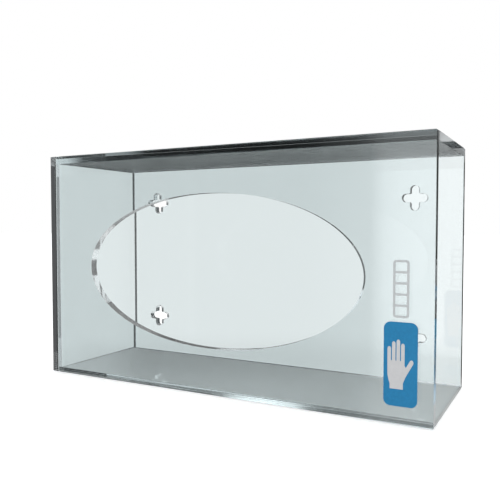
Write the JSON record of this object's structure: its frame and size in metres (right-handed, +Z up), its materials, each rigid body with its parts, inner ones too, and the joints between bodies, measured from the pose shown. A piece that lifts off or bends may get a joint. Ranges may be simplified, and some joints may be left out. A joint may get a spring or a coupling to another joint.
{
  "type": "glove carton dispenser",
  "caption": "Clear acrylic wall box that holds a carton of disposable gloves, loaded at its open end and emptied through a large oval front opening.",
  "frame": {"origin": "middle of the footprint, on the surface the box stands on", "axes": "+X from the closed end to the open loading end, +Y from the oval opening to the wall, +Z up"},
  "size_m": [0.262, 0.0895, 0.15],
  "materials": {
    "front_acrylic": "clear cast acrylic, polished faces, laser-cut edges",
    "back_acrylic": "clear cast acrylic, polished faces, laser-cut edges",
    "top_acrylic": "clear cast acrylic, polished faces, laser-cut edges",
    "base_acrylic": "clear cast acrylic, thinner sheet, polished faces",
    "end_acrylic": "clear cast acrylic, polished faces, laser-cut edges",
    "badge_vinyl": "blue printed vinyl film, satin",
    "gauge_vinyl": "grey cut vinyl film, satin"
  },
  "bodies": {
    "root": {"front_panel": "front_acrylic", "back_panel": "back_acrylic", "top_panel": "top_acrylic", "base_panel": "base_acrylic", "end_panel": "end_acrylic", "badge_label": "badge_vinyl", "gauge_label": "gauge_vinyl"}
  },
  "joints": []
}
